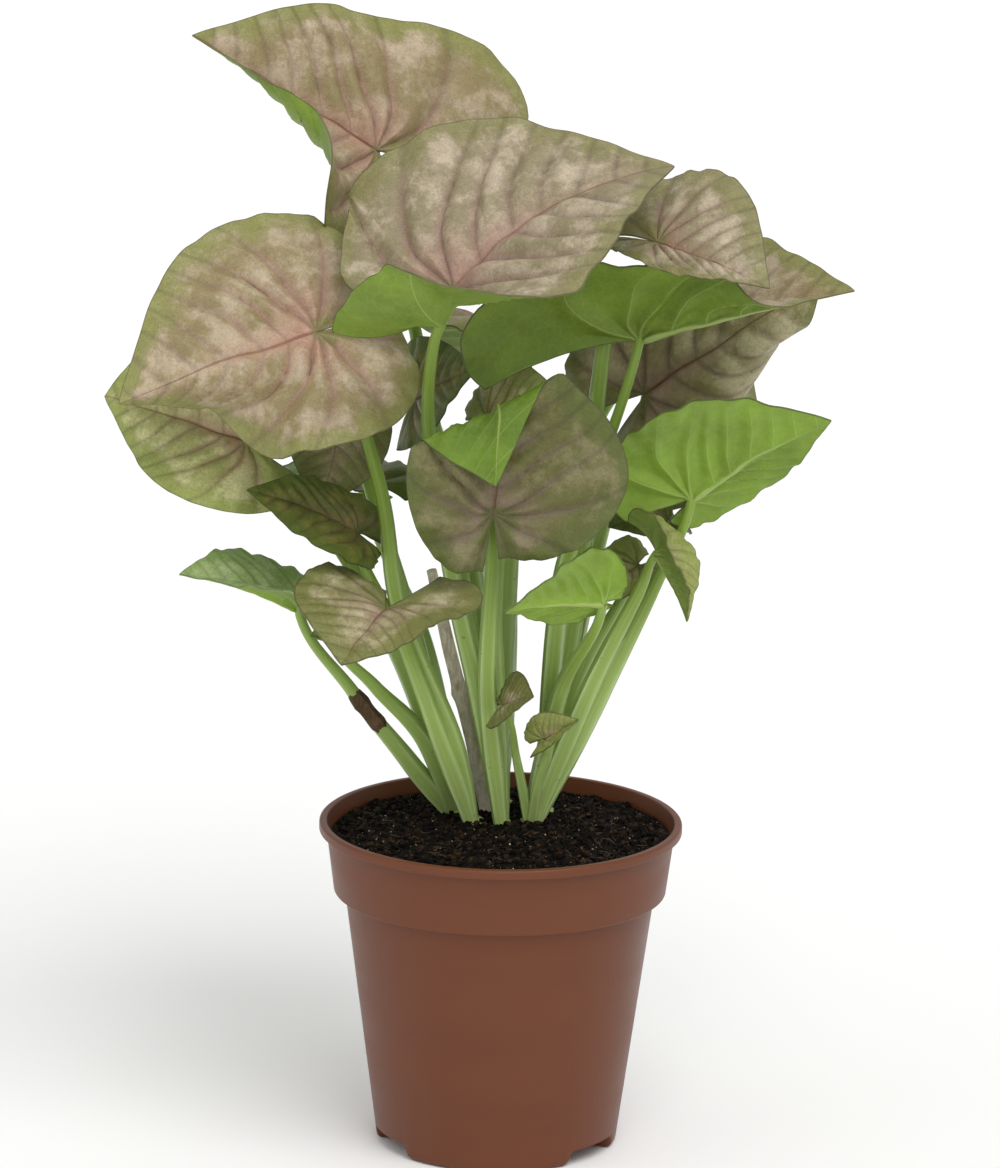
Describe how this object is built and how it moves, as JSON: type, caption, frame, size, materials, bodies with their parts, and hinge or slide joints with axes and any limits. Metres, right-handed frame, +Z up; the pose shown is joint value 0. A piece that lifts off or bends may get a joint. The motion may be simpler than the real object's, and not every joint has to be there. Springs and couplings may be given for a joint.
{
  "type": "potted arrowhead plant",
  "caption": "Young arrowhead plant with pink and olive leaves on pale green petioles, growing in a round brown plastic nursery pot filled with dark potting soil.",
  "frame": {"origin": "middle of the pot's floor pad, level with the feet, where the pot rests", "axes": "+Z up along the pot's axis and the plant's height, +X to the right of the plant's front, +Y to its back"},
  "size_m": [0.2443, 0.2028, 0.375],
  "materials": {
    "pot_plastic": "satin moulded polypropylene, terracotta brown",
    "potting_soil": "damp dark peat with fine crumbs",
    "old_stem": "dry, papery grey bark",
    "petiole": "smooth, slightly waxy pale green stalk",
    "leaf_pink": "satin pink and olive leaf with pink veins",
    "leaf_dark": "satin dark olive leaf",
    "leaf_lime": "satin young lime leaf"
  },
  "bodies": {
    "root": {"pot": "pot_plastic", "soil": "potting_soil", "old_stem": "old_stem", "shoot_1": "petiole", "shoot_2": "petiole", "shoot_3": "petiole", "shoot_4": "petiole", "shoot_5": "petiole", "shoot_6": "petiole", "leaf_high": "leaf_pink", "leaf_middle": "leaf_pink", "leaf_left": "leaf_pink", "leaf_left_low": "leaf_pink", "leaf_left_inner": "leaf_dark", "leaf_left_dark": "leaf_dark", "leaf_left_front": "leaf_pink", "leaf_lime_left": "leaf_lime", "leaf_bud_left": "leaf_lime", "leaf_front": "leaf_pink", "leaf_lime_front": "leaf_lime", "leaf_right_under": "leaf_pink", "leaf_right_top": "leaf_pink", "leaf_right_brown": "leaf_dark", "leaf_right_lime": "leaf_lime", "leaf_right_folded": "leaf_pink", "leaf_right_dark": "leaf_dark", "leaf_right_grey": "leaf_dark", "leaf_young": "leaf_dark", "leaf_young_folded": "leaf_dark", "leaf_heart_brown": "leaf_dark", "leaf_heart_dark": "leaf_dark", "leaf_back_high": "leaf_pink", "leaf_back_left": "leaf_pink", "leaf_back_middle": "leaf_pink", "leaf_back_right": "leaf_pink", "leaf_back_low": "leaf_dark", "leaf_back_low_left": "leaf_dark"}
  },
  "joints": []
}
